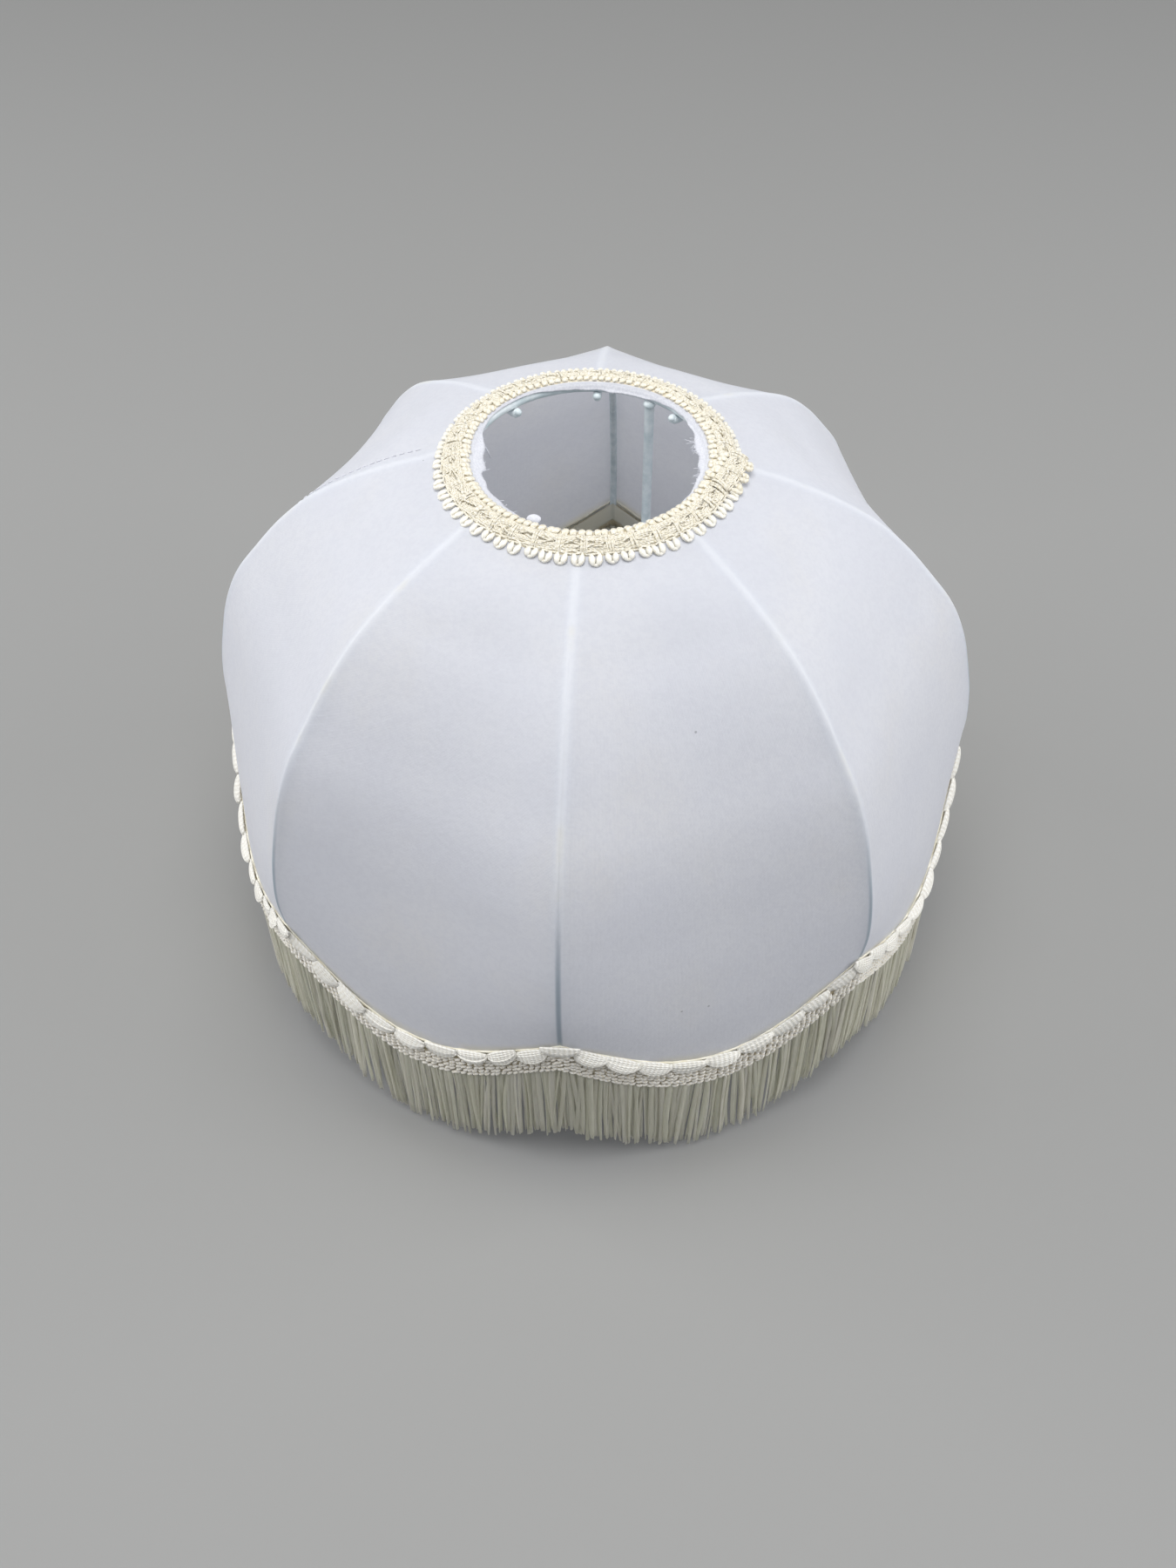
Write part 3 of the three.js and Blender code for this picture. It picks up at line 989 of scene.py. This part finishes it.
def build_loose_threads():
    """Frayed fibres, one hanging thread and a lump of glue on the turned-in edge."""
    parts = []
    size = RING_WIRE + TURN_AIR
    for degrees, spread, many in TUFTS:
        for _ in range(many):
            a = math.radians(degrees) + random.gauss(0, spread)
            run = max(0.0, float(turned_reach(np.array(a))) + TURN_START - TURN_HUG * size)
            r = RING_RADIUS - size - 0.85 * run * random.uniform(0.7, 1.0)
            start = np.array([r * math.cos(a), r * math.sin(a), RING_Z + 0.5 - 0.5 * run])
            inwards = np.array([-math.cos(a), -math.sin(a), random.uniform(-0.7, 0.8)])
            lean = inwards * 0.7 + np.array([random.gauss(0, 0.6), random.gauss(0, 0.6), 0])
            curl = np.array([random.gauss(0, 0.6), random.gauss(0, 0.6), random.gauss(-0.2, 0.4)])
            parts.append(fibre(start, lean, curl, random.uniform(0.5, 1.4), FIBRE_THREAD))
    start = polar(np.array(32.6), math.radians(HANGING_THREAD_AT), RING_Z + 0.3)
    parts.append(fibre(start, np.array([2.6, -0.4, -1.0]), np.array([0.2, 0.3, -4.5]), 1.0, HANGING_THREAD))
    lump = polar(np.array(32.3), math.radians(GLUE_LUMP_AT), CREST_Z - 0.9)
    parts.append(ball(lump, GLUE_LUMP, 18, 12))
    return add_threads("cover_loose_threads", parts, FRAY_LOOK, "cover_cloth")


# ---------- top gimp ----------
def on_cover(radius, angle, lift):
    """A point standing some height off the cover's outer face near the top, by radius."""
    v = np.interp(radius, CREST_R, np.linspace(0, 1, len(CREST_R)))
    _, z = cover_point(v, gore_place(angle))
    past_ring = np.clip((RIB_CREST[0][0] - radius) / 3, 0, 1.3)
    z = z - GIMP_DROOP * past_ring ** 2
    return polar(np.asarray(radius, float) + 0.25 * lift, angle, z + 0.97 * lift)


def gimp_loop(centre_r, angle, half_long, half_wide, squareness, lift, turn):
    """One closed satin loop of the gimp, long round the shade and wide across the braid."""
    t = np.linspace(0, 2 * math.pi, 23)[:-1]
    x = np.sign(np.cos(t)) * np.abs(np.cos(t)) ** squareness * half_long
    y = np.sign(np.sin(t)) * np.abs(np.sin(t)) ** squareness * half_wide
    x, y = x * math.cos(turn) - y * math.sin(turn), x * math.sin(turn) + y * math.cos(turn)
    bow = 0.1 * np.cos(2 * t + 9 * angle)
    line = on_cover(centre_r + y, angle + x / centre_r, lift + bow)
    return tube(line, GIMP_THREAD, THREAD_SIDES, ring=True)


def gimp_cell(angle, half, flat, lift, source):
    """Nested loops between two wraps: drawn out straight where flat, round as a rosette where not."""
    parts = []
    middle = GIMP_MIDDLE + 0.1 * flat + 0.15 * source.normal()
    wide = 2.5 - 0.85 * flat
    long = half * (0.8 + 0.2 * flat)
    turn = 0.25 * source.normal() * (1 - flat)
    for share, high in GIMP_LOOPS:
        shape = 0.66 - 0.36 * flat * share
        half_long = long * share ** (1 - 0.7 * flat)
        parts.append(gimp_loop(middle, angle, half_long, wide * share, shape, lift + high, turn))
    for _ in range(4):
        t = np.linspace(-0.5, 0.5, 6)
        place = angle + (half * 1.3 * (source.random() - 0.5)) / middle
        r = middle + 1.9 * (source.random() - 0.5) + 0.9 * t * source.normal()
        high = lift + 0.95 + 0.3 * np.cos(math.pi * t) + 0.12 * source.normal()
        parts.append(tube(on_cover(r, place + 2.6 * t / middle, high), GIMP_STRAY, THREAD_SIDES))
    return parts


def gimp_wrap(angle, lift, source):
    """Threads bound across the braid between two cells."""
    parts = []
    for shift in GIMP_WRAPS:
        t = np.linspace(0, 1, 10)
        r = RUNG_OUTER + 5.1 * t
        lean = angle + (shift + 0.5 * (t - 0.5) * source.normal() + 0.1 * source.normal()) / WRAP_RADIUS
        arch = lift + 0.3 + 0.95 * np.sin(math.pi * t) ** 0.5 + 0.08 * source.normal()
        parts.append(tube(on_cover(r, lean, arch), GIMP_BINDING, THREAD_SIDES))
    return parts


def gimp_picot(angle, reach, lift):
    """A satin loop that stands out of the gimp's outer edge: two fat limbs and the bend at its tip."""
    t = np.linspace(0, 1, 11)
    full = 0.25 + 0.75 * np.sin(math.pi * t ** 1.3) ** 0.8
    high = lift + 0.3 * np.sin(math.pi * t)
    parts = []
    for hand in (-1, 1):
        side = hand * PICOT_HALF * (1 - 0.5 * t * t)
        line = on_cover(PICOT_ROOT + reach * t, angle + side / PICOT_ROOT, high)
        parts.append(tube(line, PICOT_THREAD * full, SATIN_SIDES, flat=PICOT_FLAT))
    across = np.linspace(-1, 1, 7)
    bend_r = PICOT_ROOT + reach * (0.92 - 0.12 * across * across)
    line = on_cover(bend_r, angle + 0.6 * PICOT_HALF * across / PICOT_ROOT, lift - 0.1)
    parts.append(tube(line, 0.6 * PICOT_THREAD, SATIN_SIDES, flat=PICOT_FLAT))
    return parts


def even_places(start, end, radius, pitch):
    """Azimuths about pitch apart at a radius, each in the middle of its own place."""
    span = end - start
    count = int(round(span * radius / pitch))
    return start + span * (np.arange(count) + 0.5) / count


def gimp_picots(start, end, lift, source):
    """The row of picots; they stand out at the front and lie drawn in round the sides and the back."""
    parts = []
    for place in even_places(start, end, PICOT_ROOT, PICOT_PITCH):
        a = place + 0.005 * source.normal()
        facing = min(1.0, 0.7 - 0.7 * math.sin(a))
        reach = PICOT_REACH * (0.3 + 0.7 * facing ** 2) * (1 + 0.08 * source.normal())
        parts.extend(gimp_picot(a, reach, lift + 0.35 + 0.1 * source.normal()))
    return parts


def gimp_rungs(start, end, lift, source):
    """Short satin stitches side by side over the top ring: the gimp's inner edge."""
    parts = []
    for place in even_places(start, end, RUNG_OUTER, RUNG_PITCH):
        a = place + 0.006 * source.normal()
        t = np.linspace(0, 1, 8)
        inner = RUNG_INNER + 0.9 * max(0.0, math.sin(a)) + 0.12 * source.normal()
        r = inner + (RUNG_OUTER - inner) * t
        arch = np.sin(math.pi * (0.1 + 0.85 * t))
        line = on_cover(r, a + 0.01 * source.normal() * t, lift + 0.15 + 0.35 * arch)
        parts.append(tube(line, RUNG_THREAD * (0.6 + 0.4 * arch), SATIN_SIDES, flat=RUNG_FLAT))
    return parts


def gimp_cords(start, end, lift, source):
    """The straight cords on both sides of the cells."""
    parts = []
    angle = np.linspace(start, end, max(24, int((end - start) * 72)))
    for radius, high in GIMP_CORDS:
        phase = source.uniform(0, PHASES)
        line_r = radius + 0.14 * np.sin(47 * angle + phase) + 0.08 * np.sin(97 * angle + 2 * phase)
        line_high = lift + high + 0.13 * np.sin(59 * angle + 3 * phase)
        parts.append(tube(on_cover(line_r, angle, line_high), GIMP_THREAD, THREAD_SIDES))
    return parts


def sides_of_shade(angle):
    """1 on the left and right, 0 at the front and the back."""
    return abs(math.cos(angle)) ** 1.5


def gimp_length(start, end, lift, seed):
    """The threads in a length of gimp, in three lists: cells with wraps, cords with rungs, picots."""
    source = np.random.default_rng(seed)
    span = end - start
    cells = max(2, int(round(span * WRAP_RADIUS / GIMP_CELL)))
    step = span / cells
    body = gimp_wrap(end, lift, source)
    for k in range(cells):
        angle = start + step * (k + 0.5) + 0.006 * source.normal()
        flat = float(np.clip(1 - sides_of_shade(angle) * (0.4 + 0.6 * source.random()), 0, 1))
        body.extend(gimp_cell(angle, step * WRAP_RADIUS / 2, flat, lift, source))
        body.extend(gimp_wrap(start + step * k, lift, source))
    cords = gimp_cords(start, end, lift, source)
    rungs = gimp_rungs(start, end, lift, source)
    return body, cords + rungs, gimp_picots(start, end, lift, source)


def build_top_gimp():
    start = JOIN_AZIMUTH + 0.02
    body, cords, picots = gimp_length(start, start + 2 * math.pi - 0.03, 0.0, 21)
    radii, lifts = np.array(GIMP_CORE).T
    points = [on_cover(radii, a, lifts) for a in full_turn(CORE_STEPS, 0)]
    faces = grid_faces(len(radii), CORE_STEPS, ring=True)
    core = add_mesh("top_gimp_core", np.concatenate(points), faces, GIMP_CORE_LOOK, "braid")
    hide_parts("top_braid")
    add_threads("top_gimp_loops", body, GIMP_LOOK, "braid")
    add_threads("top_gimp_cords", cords, GIMP_LOOK, "braid")
    add_threads("top_gimp_picots", picots, PICOT_LOOK, "braid")
    lapped = gimp_length(JOIN_AZIMUTH - 0.15, JOIN_AZIMUTH + 0.19, 1.0, 8)
    lap = add_threads("top_gimp_lap", [part for kind in lapped for part in kind], GIMP_LOOK, "braid")
    centre = Vector(on_cover(np.array(39.6), JOIN_AZIMUTH, np.array(0.0)).tolist()) * MM
    outwards = Vector((math.cos(JOIN_AZIMUTH), math.sin(JOIN_AZIMUTH), -0.25)) * (1.3 * MM)
    turn = Matrix.Translation(centre + outwards) @ Matrix.Rotation(math.radians(-13), 4, "Z")
    lap.data.transform(turn @ Matrix.Translation(-centre))


# ---------- lower trims ----------
def edge_frame(angle):
    """Directions on the lower edge: along it, down the flared trim, and out from its face."""
    before, after = edge_line(np.array([angle - 0.02, angle + 0.02]))
    along = unit(after - before)
    out = np.array([math.cos(angle), math.sin(angle), 0.0])
    out = unit(out - along * (out @ along))
    down = np.cross(along, out)
    down = down * (-1 if down[2] > 0 else 1)
    flared = down * math.cos(FLARE) + out * math.sin(FLARE)
    face = out * math.cos(FLARE) - down * math.sin(FLARE)
    return along, flared, face


def build_glue_line():
    angle = full_turn(GLUE_STEPS)
    wander = wobble(angle, 23, 0.1, 4) + wobble(angle, 61, 0.06, 9)
    thick = 0.42 + 0.12 * np.abs(wobble(angle, 31, 0.8, 7))
    line = edge_line(angle, drop=wander - GLUE_ABOVE)
    points, faces, _ = tube(line, np.clip(thick, 0.35, 0.7), THREAD_SIDES, ring=True)
    add_mesh("glue_line", points, faces, GLUE_LOOK, "braid")


def leaf_outline(u):
    """Top and bottom of a leaf at u, as shares of its height: flat above, bellied below."""
    belly = (1 - np.abs(u) ** 2.2) ** 0.8
    return 0.14 * (1 - belly), 0.36 + 0.64 * belly


def leaf_cords(frame_of, centre, length, height, tilt, twist):
    """One satin leaf of the scalloped braid: cords side by side, straight above, bellied below."""
    along, down, face = frame_of
    u = np.linspace(-1, 1, 17)
    top, bottom = leaf_outline(u)
    parts = []
    for share in np.linspace(0, 1, LEAF_CORDS):
        depth = height * (top + (bottom - top) * share) + tilt * u
        dome = (0.25 + 0.75 * math.sin(math.pi * (0.15 + 0.75 * share))) * (1 - np.abs(u) ** 3)
        stand = 0.55 + 0.75 * dome + twist * u + 0.06 * rng.normal()
        line = centre + along * (u * length / 2)[:, None] + down * depth[:, None] + face * stand[:, None]
        thick = LEAF_THREAD * (1 - 0.35 * np.abs(u) ** 4)
        parts.append(tube(line, thick, THREAD_SIDES, facing=np.tile(face, (len(u), 1))))
    return parts


def leaf_pad(frame_of, centre, length, height, tilt, twist):
    """The filling under a leaf's cords."""
    along, down, face = frame_of
    us = np.linspace(-0.96, 0.96, 13)
    top, bottom = leaf_outline(us[:, None])
    vs = np.linspace(0.04, 0.96, 6)
    depth = height * (top + (bottom - top) * vs) + tilt * us[:, None]
    dome = (1 - np.abs(us[:, None]) ** 3) * np.sin(math.pi * vs) ** 0.7
    stand = 0.35 + 0.7 * dome + twist * us[:, None]
    grid = (centre + along * (us[:, None, None] * length / 2) + down * depth[..., None]
            + face * stand[..., None])
    return grid.reshape(-1, 3), grid_faces(len(vs), len(us)), np.zeros((grid.size // 3, 3))


def build_scalloped_braid():
    pads, cords = [], []
    for a in even_edge_angles(LEAF_PITCH):
        along, down, face = edge_frame(a)
        lean = math.radians(8 * rng.normal())
        down, face = (down * math.cos(lean) + face * math.sin(lean),
                      face * math.cos(lean) - down * math.sin(lean))
        frame_of = (along, down, face)
        from_rib = (1 - abs(float(gore_place(a)))) * HALF * float(CREST_R[-1])
        at_notch = 0.8 * math.exp(-(from_rib / 5) ** 2)
        centre = edge_line(np.array(a), drop=at_notch - LEAF_ABOVE + 0.2 * rng.normal())
        size = LEAF_LENGTH * (1 + 0.05 * rng.normal())
        height = LEAF_HEIGHT * (1 + 0.09 * rng.normal())
        tilt = 0.3 * rng.normal()
        twist = 0.3 + 0.1 * rng.normal()
        pads.append(leaf_pad(frame_of, centre, size, height, tilt, twist))
        cords.extend(leaf_cords(frame_of, centre, size, height, tilt, twist))
    pad = add_threads("scalloped_braid_pads", pads, BRAID_LOOK, "braid")
    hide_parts("bottom_braid")
    add_threads("scalloped_braid", cords, BRAID_LOOK, "braid")


def heading_shift(angle):
    """How far the heading of the fringe sits above its mean line; it was glued on unevenly."""
    from_hitch = np.angle(np.exp(1j * (angle - HITCH_AZIMUTH)))
    hitch = HITCH_RISE * np.exp(-(from_hitch / HITCH_WIDTH) ** 2)
    return 0.6 + wobble(angle, 3, 0.7, 14) + hitch


def build_heading():
    """Chain-stitched rows that hold the fringe, over a thin tape."""
    parts = []
    t = np.linspace(-1, 1, 6)
    for drop in CHAIN_ROWS:
        for a in even_edge_angles(CHAIN_PITCH):
            a = a + 0.002 * rng.normal()
            along, down, face = edge_frame(a)
            centre = edge_line(np.array(a), drop=drop - heading_shift(a) + 0.15 * rng.normal(), out=0.9)
            lean = 0.3 + 0.1 * rng.normal()
            ahead = along * math.cos(lean) - down * math.sin(lean)
            full = 1 - t * t
            line = centre + ahead * (CHAIN_HALF * t)[:, None] + face * (0.45 * full)[:, None]
            parts.append(tube(line, 0.3 + 0.28 * full, THREAD_SIDES, facing=np.tile(face, (len(t), 1))))
    add_threads("heading_stitches", parts, HEADING_LOOK, "heading")
    angle = full_turn(TAPE_STEPS)
    rows = []
    for drop, out in TAPE_SECTION:
        rows.append(edge_line(angle, drop=drop - heading_shift(angle) * min(1, drop / 5), out=out))
    points = np.stack(rows, 1).reshape(-1, 3)
    faces = grid_faces(len(rows), TAPE_STEPS, ring=True)
    tape = add_mesh("heading_tape", points, faces, TAPE_LOOK, "heading")
    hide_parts("fringe_heading")


def strand(angle, out, length, width, lean, sway, twist):
    """One flat cut strand of the fringe, hanging from the heading."""
    t = np.linspace(0, 1, 9)
    root = STRAND_ROOT - float(heading_shift(angle))
    top = edge_line(np.array(angle), drop=root, out=out)
    outwards = np.array([math.cos(angle), math.sin(angle), 0.0])
    around = np.array([-math.sin(angle), math.cos(angle), 0.0])
    swing = 0.9 * np.sin(math.pi * 0.5 * t) * (0.3 + abs(sway)) + out * 0.3 * t
    line = (top - np.array([0, 0, 1.0]) * ((length - root) * t)[:, None]
            + around * (lean * t + sway * np.sin(math.pi * t))[:, None] + outwards * swing[:, None])
    turn = twist + 0.8 * twist * t
    facing = outwards * np.cos(turn)[:, None] + around * np.sin(turn)[:, None]
    size = width * (0.9 + 0.12 * np.sin(5 * t + 3 * twist)) * np.where(t > 0.99, 0.8, 1.0)
    return tube(line, size, THREAD_SIDES, flat=STRAND_FLAT, facing=facing)


def build_fringe():
    """Two layers of cut strands, a few missing and a few astray."""
    parts, tints = [], []
    for out, step, width in FRINGE_LAYERS:
        for a in even_edge_angles(step):
            if rng.random() < MISSING_STRANDS:
                continue
            a = a + 0.003 * rng.normal()
            length = FRINGE_BOTTOM - 1.0 + 1.2 * rng.normal() - 1.4 * float(wobble(a, 7, 0.5, 2))
            lean = 1.0 * rng.normal() + 1.6 * float(wobble(a, 13, 0.5, 6))
            if rng.random() < STRAY_STRANDS:
                lean = lean + 3.5 * rng.normal()
            length = min(length, FRINGE_BOTTOM + 1.5)
            made = strand(a, out + 0.25 * rng.normal(), length, width * (1 + 0.16 * rng.normal()),
                          lean, 0.35 * rng.normal(), 0.4 * rng.normal())
            parts.append(made)
            tints.append(np.tile([rng.random(), rng.random(), 0.0], (len(made[0]), 1)))
    piece = add_threads("cut_fringe", parts, STRAND_LOOK, "fringe")
    add_attribute(piece, "strand_tint", np.concatenate(tints))
    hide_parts("fringe")


# ---------- building the shade ----------
build_top_ring()
build_ribs()
build_hem_wires()
build_struts()
build_washer()
cover = build_cover()
stitches = build_seam_stitches()
turned_edge = build_turned_edge()
loose_threads = build_loose_threads()
build_top_gimp()
build_glue_line()
build_scalloped_braid()
build_heading()
build_fringe()


# ---------- floor, light and camera ----------
def build_stage():
    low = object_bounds()[0][2] - FLOOR_GAP
    bpy.ops.mesh.primitive_plane_add(size=FLOOR_SIZE, location=(0, 0, low))
    floor = bpy.context.object
    floor.name = "floor"
    material, shader, _ = new_material("pale_floor")
    shader.inputs["Base Color"].default_value = (*FLOOR_COLOUR, 1)
    set_shader(shader, roughness=0.75)
    floor.data.materials.append(material)


def add_area_light(name, place, size, power):
    """A square lamp that points at the middle of the part's frame."""
    light = bpy.data.lights.new(name, "AREA")
    light.size = size
    light.energy = power
    lamp = bpy.data.objects.new(name, light)
    bpy.context.scene.collection.objects.link(lamp)
    lamp.location = place
    lamp.rotation_euler = (-Vector(place)).to_track_quat("-Z", "Y").to_euler()


def light_stage():
    bpy.context.scene.view_settings.view_transform = "Standard"
    world = bpy.data.worlds.new("studio")
    bpy.context.scene.world = world
    world.use_nodes = True
    world.node_tree.nodes["Background"].inputs[0].default_value = (*SKY_COLOUR, 1)
    world.node_tree.nodes["Background"].inputs[1].default_value = SKY_STRENGTH
    for lamp in LAMPS:
        add_area_light(*lamp)


def place_camera():
    """Camera at the photograph's angle: place, downward pitch, heading and roll."""
    pitch, heading, roll = (math.radians(turn) for turn in CAMERA_TURNS)
    level = math.cos(pitch)
    ahead = Vector((math.sin(heading) * level, math.cos(heading) * level, -math.sin(pitch)))
    right = ahead.cross(Vector((0, 0, 1))).normalized()
    up = right.cross(ahead)
    turned_right = right * math.cos(roll) + up * math.sin(roll)
    turned_up = up * math.cos(roll) - right * math.sin(roll)
    matrix = Matrix((turned_right, turned_up, -ahead)).transposed().to_4x4()
    matrix.translation = CAMERA_PLACE
    data = bpy.data.cameras.new("camera")
    data.lens = LENS
    data.sensor_width = SENSOR
    data.sensor_fit = "HORIZONTAL"
    camera = bpy.data.objects.new("camera", data)
    bpy.context.scene.collection.objects.link(camera)
    camera.matrix_world = matrix
    bpy.context.scene.camera = camera


build_stage()
light_stage()
place_camera()
